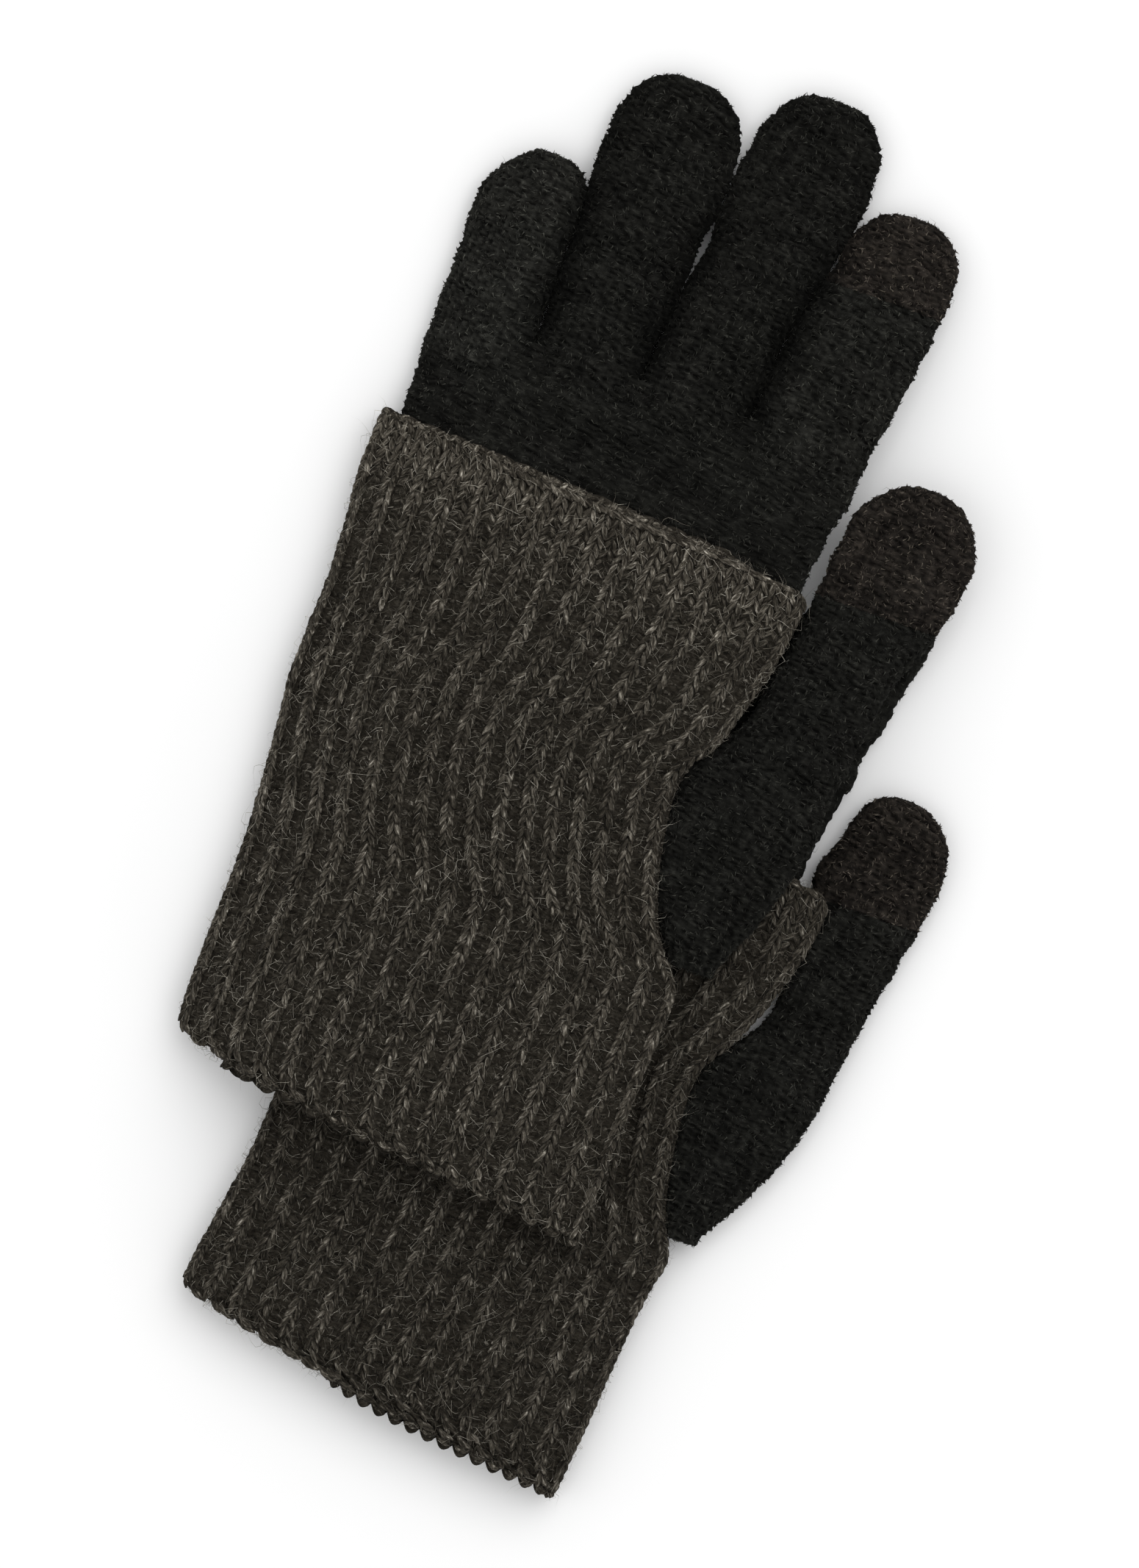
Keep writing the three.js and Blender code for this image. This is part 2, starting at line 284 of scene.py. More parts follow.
def heatherWoolKnit():
    # heather wool, carded dark with a few bleached fibres, then spun and rib knitted: quite matt,
    # and every strand shows thin light and dark streaks that twist along it
    material, tree = newMaterial("heatherWoolKnit", 0.95, 0.10)
    onYarn = addNode(tree, "ShaderNodeAttribute", attribute_name="yarnPlace").outputs["Vector"]
    tone = addNode(tree, "ShaderNodeAttribute", attribute_name="stitchTone").outputs["Fac"]
    strand = addNode(tree, "ShaderNodeVectorMath", {0: onYarn, 1: tone}, operation="ADD")
    twisted = addNode(tree, "ShaderNodeMapping", {"Vector": strand, "Scale": (0.22, 1.0, 1.0),
                       "Rotation": (0, 0, math.radians(22))})
    place = addNode(tree, "ShaderNodeTexCoord").outputs["Object"]
    streaks = addNode(tree, "ShaderNodeTexNoise",      # bundles of fibres, 0.25 mm wide
                      {"Vector": twisted, "Scale": 1 / 0.0005, "Detail": 3.0, "Roughness": 0.6})
    patches = addNode(tree, "ShaderNodeTexNoise",      # uneven carding, every 5 mm
                      {"Vector": place, "Scale": 1 / 0.005, "Detail": 2.0, "Roughness": 0.6})
    mottle = addNode(tree, "ShaderNodeMath", {0: patches, 1: 0.3, 2: streaks}, operation="MULTIPLY_ADD")
    toned = addNode(tree, "ShaderNodeMath", {0: tone, 1: 0.10, 2: mottle}, operation="MULTIPLY_ADD")
    factor = addNode(tree, "ShaderNodeMapRange", {"Value": toned, "From Min": 0.50, "From Max": 0.98})
    colour = fibreColour(tree, factor, [
        (0.0, woolColours["deep"]), (0.3, woolColours["dark"]), (0.58, woolColours["body"]),
        (0.82, woolColours["light"]), (1.0, woolColours["bleached"])])
    return finishMaterial(material, colour, streaks, 0.7, 0.3)


def purlValleyWool():
    # the same wool where it turns to purl between the ribs: painted darker, as painted shade in the
    # furrows
    material, tree = newMaterial("purlValleyWool", 1.0, 0.03)
    place = addNode(tree, "ShaderNodeTexCoord").outputs["Object"]
    turned = addNode(tree, "ShaderNodeMapping", {"Vector": place, "Scale": (0.4, 1.0, 1.0)})
    grain = addNode(tree, "ShaderNodeTexNoise",        # strands of yarn, about 1 mm wide
                    {"Vector": turned, "Scale": 1 / 0.0010, "Detail": 4.0,
                     "Roughness": 0.7})
    colour = fibreColour(tree, grain, [
        (0.3, woolColours["deep"]), (0.5, woolColours["dark"]), (0.75, woolColours["body"])])
    return finishMaterial(material, colour, grain, 0.7, 0.4)


def hairMaterial(name, stops, sheen=0.0):
    # single fibres standing off the knit: each has its own tone
    material, tree = newMaterial(name, 0.8, sheen)
    tone = addNode(tree, "ShaderNodeAttribute", attribute_name="hairTone").outputs["Fac"]
    shader = tree.nodes["Principled BSDF"]
    tree.links.new(fibreColour(tree, tone, stops), shader.inputs["Base Color"])
    return material


def brushedPlush(name, deep, body, light, sheen):
    # fine knit brushed on the face: a short dense pile, so it is matt with a faint halo at its edges
    material, tree = newMaterial(name, 0.95, sheen)
    place = addNode(tree, "ShaderNodeTexCoord").outputs["Object"]
    crosswise = addNode(tree, "ShaderNodeMapping", {"Vector": place, "Scale": (0.5, 1.0, 0.7)})
    loops = addNode(tree, "ShaderNodeTexNoise",        # brushed loops, 1.2 mm apart
                    {"Vector": crosswise, "Scale": 1 / 0.0012, "Detail": 3.0,
                     "Roughness": 0.65})
    worn = addNode(tree, "ShaderNodeTexNoise",         # flattened patches, about 11 mm across
                   {"Vector": place, "Scale": 1 / 0.011, "Detail": 2.0, "Roughness": 0.6})
    blended = addNode(tree, "ShaderNodeMath", {0: worn, 1: 0.3, 2: loops}, operation="MULTIPLY_ADD")
    factor = addNode(tree, "ShaderNodeMapRange", {"Value": blended, "From Min": 0.42, "From Max": 0.95})
    colour = fibreColour(tree, factor, [(0.0, deep), (0.55, body), (1.0, light)])
    return finishMaterial(material, colour, loops, 0.8, 0.5)


materials = {
    "stitches": heatherWoolKnit(),
    "valleys": purlValleyWool(),
    "woolHair": hairMaterial("looseWoolFibre", [
        (0.0, "#1b1814"), (0.45, "#45413a"), (0.8, "#767166"), (1.0, "#b0ab9f")], 0.05),
    "liner": brushedPlush("brushedBlackPlush", "#070706", "#141412", "#232320", 0.03),
    "linerPile": hairMaterial("blackPlushPile", [
        (0.0, "#0c0c0b"), (0.7, "#1b1b19"), (1.0, "#2c2c28")], 0.03),
    "touch": brushedPlush("brushedTouchYarn", "#0b0a09", "#1f1c19", "#35302b", 0.03),
    "touchPile": hairMaterial("touchYarnPile", [
        (0.0, "#100e0d"), (0.6, "#272320"), (1.0, "#454039")], 0.03),
    "wrist": brushedPlush("fineWristRib", "#060606", "#10100f", "#1d1d1b", 0.05),
    "seam": brushedPlush("linkedSeamYarn", "#0e0c09", "#27231e", "#4b463e", 0.05),
}
print("materials made")


# geometry nodes

def startTree(name, inputs):
    tree = bpy.data.node_groups.new(name, "GeometryNodeTree")
    tree.interface.new_socket("Geometry", in_out="INPUT", socket_type="NodeSocketGeometry")
    for label, kind, value in inputs:
        socket = tree.interface.new_socket(label, in_out="INPUT", socket_type="NodeSocket" + kind)
        if value is not None:
            socket.default_value = value
    tree.interface.new_socket("Geometry", in_out="OUTPUT", socket_type="NodeSocketGeometry")
    return tree, addNode(tree, "NodeGroupInput").outputs, addNode(tree, "NodeGroupOutput")


def placeShape(tree, given, result, points, shape, rotation, scale, toneName):
    # puts the shape on every point, gives each its own tone and makes them real
    placed = addNode(tree, "GeometryNodeInstanceOnPoints",
                     {"Points": points, "Instance": shape, "Rotation": rotation, "Scale": scale})
    tone = addNode(tree, "FunctionNodeRandomValue", {"Seed": given["Seed"]}, data_type="FLOAT")
    toned = addNode(tree, "GeometryNodeStoreNamedAttribute",
                    {"Geometry": placed, "Name": toneName, "Value": tone.outputs[1]},
                    data_type="FLOAT", domain="INSTANCE")
    real = addNode(tree, "GeometryNodeRealizeInstances", {"Geometry": toned})
    finished = addNode(tree, "GeometryNodeSetMaterial",
                       {"Geometry": real, "Material": given["Material"]})
    tree.links.new(finished.outputs[0], result.inputs[0])
    return tree


def fibreTree():
    # scatters bent, pointed fibres over a surface and keeps only the fibres
    tree, given, result = startTree("scatterFibres", [
        ("Density", "Float", 200000.0), ("Seed", "Int", 1), ("Length", "Float", 0.003),
        ("Thickness", "Float", 0.0001), ("Bend", "Float", 0.3), ("Lean Low", "Float", 0.6),
        ("Lean High", "Float", 1.4), ("Segments", "Int", 2), ("Material", "Material", None)])
    scattered = addNode(tree, "GeometryNodeDistributePointsOnFaces",
                        {"Mesh": given["Geometry"], "Density": given["Density"], "Seed": given["Seed"]})
    # a cone one unit long, which every point scales to its own length
    relative = addNode(tree, "ShaderNodeMath",
                       {0: given["Thickness"], 1: given["Length"]}, operation="DIVIDE")
    radius = addNode(tree, "ShaderNodeMath", {0: relative, 1: 0.5}, operation="MULTIPLY")
    fibre = addNode(tree, "GeometryNodeMeshCone",
                    {"Vertices": 3, "Side Segments": given["Segments"], "Radius Top": 0.0,
                     "Radius Bottom": radius, "Depth": 1.0})
    # it bows to one side and waves a little to the other
    place = addNode(tree, "GeometryNodeInputPosition")
    height = addNode(tree, "ShaderNodeSeparateXYZ", {0: place}).outputs["Z"]
    squared = addNode(tree, "ShaderNodeMath", {0: height, 1: height}, operation="MULTIPLY")
    turning = addNode(tree, "ShaderNodeMath", {0: height, 1: 5.0}, operation="MULTIPLY")
    wave = addNode(tree, "ShaderNodeMath", {0: turning}, operation="SINE")
    bowed, curled = [
        addNode(tree, "ShaderNodeMath", {0: shape, 1: given["Bend"]}, operation="MULTIPLY")
        for shape in (squared, wave)]
    aside = addNode(tree, "ShaderNodeMath", {0: curled, 1: 0.35}, operation="MULTIPLY")
    offset = addNode(tree, "ShaderNodeCombineXYZ", {"X": bowed, "Y": aside})
    bent = addNode(tree, "GeometryNodeSetPosition", {"Geometry": fibre, "Offset": offset})
    # it leans between two angles, any way round, and its length varies
    low = addNode(tree, "ShaderNodeCombineXYZ", {"X": given["Lean Low"]})
    high = addNode(tree, "ShaderNodeCombineXYZ", {"X": given["Lean High"], "Y": 0.0, "Z": math.tau})
    lean = addNode(tree, "FunctionNodeRandomValue",
                   {0: low, 1: high, "Seed": given["Seed"]}, data_type="FLOAT_VECTOR")
    euler = addNode(tree, "FunctionNodeEulerToRotation", {"Euler": lean})
    turned = addNode(tree, "FunctionNodeRotateRotation",
                     {"Rotation": scattered.outputs["Rotation"], "Rotate By": euler},
                     rotation_space="LOCAL")
    size = addNode(tree, "FunctionNodeRandomValue",
                   {2: 0.5, 3: 1.4, "Seed": given["Seed"]}, data_type="FLOAT")
    scaled = addNode(tree, "ShaderNodeMath",
                     {0: size.outputs[1], 1: given["Length"]}, operation="MULTIPLY")
    return placeShape(tree, given, result, scattered, bent, turned, scaled, "hairTone")


def stitchTree():
    # one plump leg of yarn on every guide point, turned to the guide's own directions
    tree, given, result = startTree("knitStitches", [
        ("Leg Length", "Float", 0.0043), ("Yarn Thickness", "Float", 0.0015), ("Bow", "Float", 0.0003),
        ("Sides", "Int", 6), ("Rings", "Int", 6), ("Seed", "Int", 3), ("Material", "Material", None)])
    ahead, behind = [
        addNode(tree, "ShaderNodeMath", {0: given["Leg Length"], 1: share}, operation="MULTIPLY")
        for share in (0.5, -0.5)]
    start, end = [addNode(tree, "ShaderNodeCombineXYZ", {"X": x}) for x in (behind, ahead)]
    middle = addNode(tree, "ShaderNodeCombineXYZ", {"Z": given["Bow"]})
    bow = addNode(tree, "GeometryNodeCurveQuadraticBezier",
                  {"Resolution": given["Rings"], "Start": start, "Middle": middle, "End": end})
    # its thickness follows a rounded curve from end to end: (1 - |t| ** 2.6) ** 0.5
    along = addNode(tree, "GeometryNodeSplineParameter")
    thickness = addNode(tree, "ShaderNodeMapRange", {"Value": along, "To Min": -0.97, "To Max": 0.97})
    steps = (("ABSOLUTE", 1, 0.0), ("POWER", 1, 2.6), ("SUBTRACT", 0, 1.0), ("POWER", 1, 0.5))
    for operation, other, value in steps:
        thickness = addNode(tree, "ShaderNodeMath",
                            {other: value, 1 - other: thickness}, operation=operation)
    radius = addNode(tree, "ShaderNodeMath", {0: given["Yarn Thickness"], 1: 0.5}, operation="MULTIPLY")
    section = addNode(tree, "GeometryNodeCurvePrimitiveCircle",
                      {"Resolution": given["Sides"], "Radius": radius})
    leg = addNode(tree, "GeometryNodeCurveToMesh", {"Curve": bow, "Profile Curve": section,
                   "Scale": thickness, "Fill Caps": True})
    place = addNode(tree, "GeometryNodeInputPosition")
    marked = addNode(tree, "GeometryNodeStoreNamedAttribute",
                     {"Geometry": leg, "Name": "yarnPlace", "Value": place},
                     data_type="FLOAT_VECTOR")
    smooth = addNode(tree, "GeometryNodeSetShadeSmooth", {"Geometry": marked})
    direction, outward, size = [
        addNode(tree, "GeometryNodeInputNamedAttribute", {"Name": name}, data_type="FLOAT_VECTOR")
        for name in ("legDirection", "legOutward", "legSize")]
    turned = addNode(tree, "FunctionNodeAxesToRotation",
                     {"Primary Axis": direction, "Secondary Axis": outward},
                     primary_axis="X", secondary_axis="Z")
    return placeShape(tree, given, result, given["Geometry"], smooth, turned, size, "stitchTone")


trees = {"fibres": fibreTree(), "stitches": stitchTree()}


def runTree(source, tree, values, name):
    # evaluates the tree on a source object and returns its result as a plain mesh
    modifier = source.modifiers.new("nodes", "NODES")
    modifier.node_group = tree
    for item in tree.interface.items_tree:
        if item.in_out == "INPUT" and item.name in values:
            modifier[item.identifier] = values[item.name]
    bpy.context.view_layer.update()
    evaluated = source.evaluated_get(bpy.context.evaluated_depsgraph_get())
    mesh = bpy.data.meshes.new_from_object(evaluated)
    source.modifiers.remove(modifier)
    mesh.name = name
    piece = bpy.data.objects.new(name, mesh)
    bpy.context.scene.collection.objects.link(piece)
    return piece


def joinPieces(target, *others):
    # puts the others' meshes into the target's own
    with bpy.context.temp_override(active_object=target, selected_editable_objects=[target, *others]):
        bpy.ops.object.join()
    return target


def settle(piece, softness=0.4 * mm):
    # what would reach below the table lies down on it
    co = np.empty(len(piece.data.vertices) * 3, np.float32)
    piece.data.vertices.foreach_get("co", co)
    co = co.reshape(-1, 3)
    low = co[:, 2] < softness
    co[low, 2] = softness * np.exp((co[low, 2] - softness) / softness)
    piece.data.vertices.foreach_set("co", co.ravel())
    piece.data.update()


def growFibres(surface, name, styles, material, share=1.0):
    # several styles of fibre on one surface, as one piece
    grown = []
    for i, style in enumerate(styles):
        values = {**style, "Material": material, "Seed": 11 + 7 * i + len(name)}
        values["Density"] *= share
        grown.append(runTree(surface, trees["fibres"], values, name))
    return joinPieces(*grown)


def knitLegs(name, points, directions, outwards, sizes, shade, yarn, material):
    # a leg of yarn on every point; yarn holds the tree's own inputs
    guide = makeMesh(name + "_guide", points.reshape(-1, 3) * mm, [], material)
    for key, values in (("legDirection", directions), ("legOutward", outwards), ("legSize", sizes)):
        storeValues(guide, key, values, "FLOAT_VECTOR")
    storeValues(guide, "shade", shade)
    piece = runTree(guide, trees["stitches"], {**yarn, "Material": material}, name)
    bpy.data.objects.remove(guide)
    return piece


def finishPiece(piece, slotName, ride, replaced=()):
    # lays it on the table, hides the CAD parts it stands in for, and ties it to its body; given two
    # bodies across a joint it ties it to neither and only bakes its place into the mesh
    settle(piece)
    if replaced:
        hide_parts(*replaced)
    if len(ride) > 1:
        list(ride)
        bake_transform(piece)
    else:
        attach(piece, *ride)
    print(piece.name, len(piece.data.polygons))


# sleeve: a ribbed tube with a thumb slit

sleeveKnit = {
    "ribs": 32,               # round the tube, 16 to a face
    "courses": 68,            # rows of stitches, 2.4 mm each
    "wall": 2.2,              # mm
    "valleyDepth": 0.95,      # mm, how deep the purl furrows lie between ribs
    "flatTop": 30.0,          # mm, the ribs fade towards the finger end
    "scallop": 1.5,           # mm, each rib swells past the hem
    "squareness": 4.0,
    "slitOpening": 24.0,      # degrees of the section left open at the thumb
    "legTilt": 22.0,          # degrees, each leg from the rib's direction
    "purlTilt": 74.0,         # degrees, the same in the furrows, where the stitches turn to purl
    "furrowShade": 0.66,      # painted shade: the purl stitches in the furrows are painted this much darker
    "legApart": 0.94,         # mm from the rib's middle line
    "legLength": 4.1,
    "yarn": 1.55,
    "legBow": 0.32,
    "slitBulge": 1.8,         # mm, the side stands out where the thumb comes through
    "leftBulge": 0.4,
    "uneven": 0.3,            # mm, slow unevenness of the face
    "edgeRound": 0.9,         # mm, how far the cut edges are rounded off
}

sleeveFaces = {      # which half of the tube, its yarn's sides and seed, and its share of loose fibre
    "face_up": {"from": 0.0, "to": 0.5, "sides": 5, "seed": 3, "fuzz": 1.0},
    "face_down": {"from": 0.5, "to": 1.0, "sides": 3, "seed": 4, "fuzz": 0.25},
}


gloveShapes = {      # mm
    "upper": {
        "lie": drape,
        "phase": 1.0,                     # where its slow unevenness starts
        "paintedLight": 1.12,                  # painted light: its wool is painted lighter than the lower glove's
        "hemBow": 0.2,                    # the hem hangs a little in its middle
        "leftHem": (-1.8, -1.5, 0),       # how far the corners are pulled out
        "rightHem": (0, -0.4, 0),
        "leftTop": (-0.4, 1.4, 0),
        "rightSide": 0.4,
        "slit": (3, -10),                 # where the slit starts and ends, from the seams' ends
        "hand": (-0.6, -0.3),             # left and right edge, from the fingers' roots
        "underSleeve": (4.2, -1.9),       # the same inside the sleeve, from the sleeve's corners
        "detail": 1.0,
    },
    "lower": {
        # painted shade: the lower glove's wool is painted darker than the upper glove's
        "lie": flatOnTable, "phase": 2.3, "paintedLight": 0.92, "hemBow": 1.6, "leftHem": (-2.2, -6.2, 0),
        "rightHem": (0, -1.0, 0), "leftTop": (-0.4, 0, 0), "rightSide": 0.0, "slit": (11, -14),
        "hand": (-0.6, 1.5), "underSleeve": (4.2, -7.4),
        "detail": 0.5,                    # mostly covered, so it is made coarser
    },
}


class Glove:
    def __init__(self, name):
        self.name, self.shape, self.lie = name, gloveShapes[name], gloveShapes[name]["lie"]
        self.outline = NodeOutline(name + "_sleeve")
        self.leftHem = self.outline.corner(-1, -1) + self.shape["leftHem"]
        self.rightHem = self.outline.corner(1, -1) + self.shape["rightHem"]
        self.leftTop = self.outline.corner(-1, 1) + self.shape["leftTop"]
        self.rightTop = self.outline.corner(1, 1)
        self.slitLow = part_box(name + "_seam_below_thumb")[1].y / mm + self.shape["slit"][0]
        self.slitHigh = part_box(name + "_seam_above_thumb")[0].y / mm + self.shape["slit"][1]

    def rowsAt(self, v):
        # edges of the flattened tube for v from 0 at the hem to 1 at the finger end
        inside = np.clip(v, 0.004, 0.996)
        leftY = mix(self.leftHem[1], self.leftTop[1], v)
        rightY = mix(self.rightHem[1], self.rightTop[1], v)
        leftX = self.outline.smoothEdges(mix(self.leftHem[1], self.leftTop[1], inside))[0]
        leftX = leftX - 0.8 * (1 - smoothstep(0, 0.12, v)) - 0.3 * smoothstep(0.9, 1, v)
        rightX = self.outline.smoothEdges(mix(self.rightHem[1], self.rightTop[1], inside))[1]
        return leftX, leftY, rightX, rightY

    def openAt(self, rightY):
        # 1 where the thumb slit is open, 0 where the side is seamed
        return within(self.slitLow - 1, self.slitLow + 9, self.slitHigh - 9, self.slitHigh + 1, rightY)

    def skin(self, us, vs, depth=0.0, opened=True, sideRoom=0.0):
        # points in mm on the tube, depth mm inside its outer face
        v = np.asarray(vs, float)
        leftX, leftY, rightX, rightY = self.rowsAt(v)
        opening = self.openAt(rightY)
        rightX = rightX + sleeveKnit["slitBulge"] * opening + self.shape["rightSide"]
        leftX = leftX - sleeveKnit["leftBulge"]
        start = np.radians(sleeveKnit["slitOpening"]) * opening * (1.0 if opened else 0.0)
        turn = np.linspace(0, 1, 721)
        points = np.empty((len(v), len(us), 3))
        for i in range(len(v)):
            angle = start[i] + (math.tau - 2 * start[i]) * turn
            across = soften(np.cos(angle), sleeveKnit["squareness"])
            halfWidth = (rightX[i] - leftX[i]) / 2 - depth - sideRoom
            x = (leftX[i] + rightX[i]) / 2 + halfWidth * across
            z = (gloveMid - depth) * soften(np.sin(angle), sleeveKnit["squareness"])
            run = lengthAlong(x, z)
            run /= run[-1]
            points[i, :, 0] = np.interp(us, run, x)
            points[i, :, 2] = np.interp(us, run, z)
            share = (np.interp(us, run, across) + 1) / 2
            bow = self.shape["hemBow"] * math.exp(-v[i] * 9) * np.sin(math.pi * share ** 0.62)
            points[i, :, 1] = mix(leftY[i], rightY[i], share) - bow
        points[:, :, 2] += gloveMid + self.lie(points[:, :, 0], points[:, :, 1])
        return points

    def outwards(self, us, vs):
        # points on the tube, with their outward, across and along directions
        us, vs = np.asarray(us), np.asarray(vs)
        du, dv = 0.002, 0.004
        across = unit(self.skin(np.clip(us + du, 0, 1), vs) - self.skin(np.clip(us - du, 0, 1), vs))
        along = unit(self.skin(us, vs + dv) - self.skin(us, vs - dv))
        return self.skin(us, vs), unit(np.cross(along, across)), across, along

    def puckersAt(self, points):
        # slow unevenness of a knit that has been handled, in mm
        x, y, phase = points[:, :, 0], points[:, :, 1], self.shape["phase"]
        return sleeveKnit["uneven"] * (
            np.sin(x * 0.11 + y * 0.035 + phase) * 0.45
            + np.sin(y * 0.09 - x * 0.05 + phase * 2.1) * 0.35
            + np.sin(x * 0.21 - y * 0.13 + phase * 0.7) * 0.2)


def closedSlab(name, outer, inner, material):
    # the slab between two grids of points, closed along all four sides
    points = np.concatenate([outer.reshape(-1, 3), inner.reshape(-1, 3)]) * mm
    top = np.arange(outer[..., 0].size).reshape(outer.shape[:2])
    under = top + top.size
    faces = gridFaces(top) + gridFaces(np.fliplr(under))
    for rim in (np.s_[0, :], np.s_[-1, ::-1], np.s_[::-1, 0], np.s_[:, -1]):
        faces += gridFaces(np.column_stack([top[rim], under[rim]]))
    piece = makeMesh(name, points, faces, material)
    storeValues(piece, "shade", np.ones(len(points)))
    return piece


def ribCrest(us):
    # 1 on the middle of a rib, 0 in the furrow
    return (0.5 - 0.5 * np.cos(np.asarray(us) * sleeveKnit["ribs"] * math.tau)) ** 0.7


def hemSwell(crest, fromHem):
    # how far the hem reaches past its line: the ribs swell out and the furrows draw in
    swollen = np.sqrt(crest)
    return (sleeveKnit["scallop"] * swollen - 0.7 * (1 - swollen)) * np.exp(-fromHem / 3.0)


def topSwell(crest, fromTop):
    # the finger end is cast off loosely, so its ribs show as low bumps
    return 0.7 * np.sqrt(crest) * np.exp(-fromTop / 2.5)


def edgeRounding(distance, reach):
    # how far a cut edge is rounded off, at a distance from it
    share = np.clip(distance / reach, 0, 1)
    return sleeveKnit["edgeRound"] * (1 - np.sqrt(np.clip(1 - (1 - share) ** 2, 0, 1)))


def makeSleeve(glove):
    length = (glove.leftTop[1] - glove.leftHem[1] + glove.rightTop[1] - glove.rightHem[1]) / 2
    us = np.linspace(0, 1, sleeveKnit["ribs"] * 8 + 1)
    lip = np.array([0.0, 0.15, 0.4, 0.8, 1.3]) / length
    vs = np.concatenate([lip, np.linspace(2.0 / length, 1 - 2.0 / length, 56), 1 - lip[::-1]])
    points, out, _, along = glove.outwards(us, vs)
    crest = ribCrest(us)[None, :]
    fromHem, fromTop = (vs * length)[:, None], ((1 - vs) * length)[:, None]
    ribbed = mix(0.25, 1.0, smoothstep(4, sleeveKnit["flatTop"], fromTop))
    relief = -0.8 - sleeveKnit["valleyDepth"] * (1 - crest) * ribbed
    relief = relief + glove.puckersAt(points)
    opening = glove.openAt(glove.rowsAt(vs)[3])[:, None]
    perimeter = np.linalg.norm(np.diff(points, axis=1), axis=2).sum(axis=1)[:, None]
    fromSlit = np.minimum(us, 1 - us)[None, :] * perimeter
    rounding = edgeRounding(np.minimum(fromHem, fromTop), 1.3) + opening * edgeRounding(fromSlit, 1.4)
    swell = hemSwell(crest, fromHem)
    outer = points + out * (relief - rounding)[:, :, None]
    outer = outer + along * (topSwell(crest, fromTop) - swell)[:, :, None]
    inner = points - out * (sleeveKnit["wall"] - 0.8 * rounding)[:, :, None]
    inner = inner - along * (0.6 * swell)[:, :, None]
    knit = closedSlab(glove.name + "_sleeve_knit", outer, inner, materials["valleys"])
    finishPiece(knit, "sleeve_wool", (glove.name + "_sleeve_tube",), (glove.name + "_sleeve",))
    makeStitches(glove, length)
    makeSleeveFuzz(glove, length)


def makeStitches(glove, length):
    # every stitch is two legs of yarn that meet towards the fingers: steep on the ribs, flat in
    # the furrows, where the knit turns to purl
    ribs, courses = sleeveKnit["ribs"], sleeveKnit["courses"]
    perimeter = 2 * (glove.rightTop[0] - glove.leftTop[0]) + 2 * gloveThickness
    column = np.arange(4 * ribs)
    furrow = ((column // 2) % 2 == 0)[None, :]
    side = np.where(column % 2 == 0, -1.0, 1.0)
    us = ((column // 2) / (2 * ribs) + side * (sleeveKnit["legApart"] / perimeter)) % 1.0
    vs = np.concatenate([[0.9], np.linspace(2.6, length - 2.6, courses - 2), [length - 0.9]]) / length
    points, out, across, along = glove.outwards(us, vs)
    grid = points.shape[:2]
    flat = (1 - smoothstep(4, sleeveKnit["flatTop"], (1 - vs) * length))[:, None]

    def perLeg(onRib, inFurrow, inFlatFurrow):
        return np.where(furrow, mix(inFurrow, inFlatFurrow, flat), onRib) * np.ones(grid)

    tilt = perLeg(sleeveKnit["legTilt"], sleeveKnit["purlTilt"], sleeveKnit["legTilt"])
    stretch = perLeg(1.0, 0.55, 1.0)
    lift = perLeg(-0.6, -2.15, -0.75)
    for row, turned in ((0, -52.0), (courses - 1, 50.0)):     # the first and last rows close the edge
        tilt[row], stretch[row], lift[row] = turned, 0.62, -0.9
    tilt = np.radians(tilt + rng.normal(0, 2.2, grid))[:, :, None]
    direction = along * np.cos(tilt) - side[None, :, None] * across * np.sin(tilt) - out * 0.15
    lift = lift + glove.puckersAt(points) + rng.normal(0, 0.05, grid)
    swell = hemSwell(np.where(furrow, 0.0, 1.0), (vs * length)[:, None])
    swell = swell - topSwell(np.where(furrow, 0.2, 1.0), ((1 - vs) * length)[:, None])
    points = points + out * lift[:, :, None] - along * swell[:, :, None]
    points = points + across * rng.normal(0, 0.05, grid)[:, :, None]
    sizes = np.ones(points.shape) + rng.normal(0, 0.05, grid)[:, :, None]
    sizes[:, :, 0] *= stretch
    # painted shade on the legs in the furrows, lighter towards the finger end, times the glove's painted
    # light share
    shade = perLeg(1.0, sleeveKnit["furrowShade"], 1.0) * (1 + 0.25 * flat) * glove.shape["paintedLight"]
    for face, half in sleeveFaces.items():
        chosen = (us >= half["from"]) & (us < half["to"])
        yarn = {"Leg Length": sleeveKnit["legLength"] * mm, "Yarn Thickness": sleeveKnit["yarn"] * mm,
                "Bow": sleeveKnit["legBow"] * mm, "Sides": half["sides"], "Rings": 3,
                "Seed": half["seed"]}
        piece = knitLegs(f"{glove.name}_sleeve_stitches_{face}", points[:, chosen], direction[:, chosen],
                         out[:, chosen], sizes[:, chosen], shade[:, chosen], yarn, materials["stitches"])
        finishPiece(piece, "sleeve_wool", (glove.name + "_sleeve_tube",))


woolFuzz = [
    {"Density": 600000.0, "Length": 0.0017, "Thickness": 0.0001, "Bend": 0.7,
     "Lean Low": 0.9, "Lean High": 1.6, "Segments": 2},
    {"Density": 210000.0, "Length": 0.003, "Thickness": 0.00009, "Bend": 1.0,
     "Lean Low": 0.8, "Lean High": 1.6, "Segments": 3},
    {"Density": 9000.0, "Length": 0.005, "Thickness": 0.00009, "Bend": 1.1,
     "Lean Low": 0.7, "Lean High": 1.5, "Segments": 6},
]


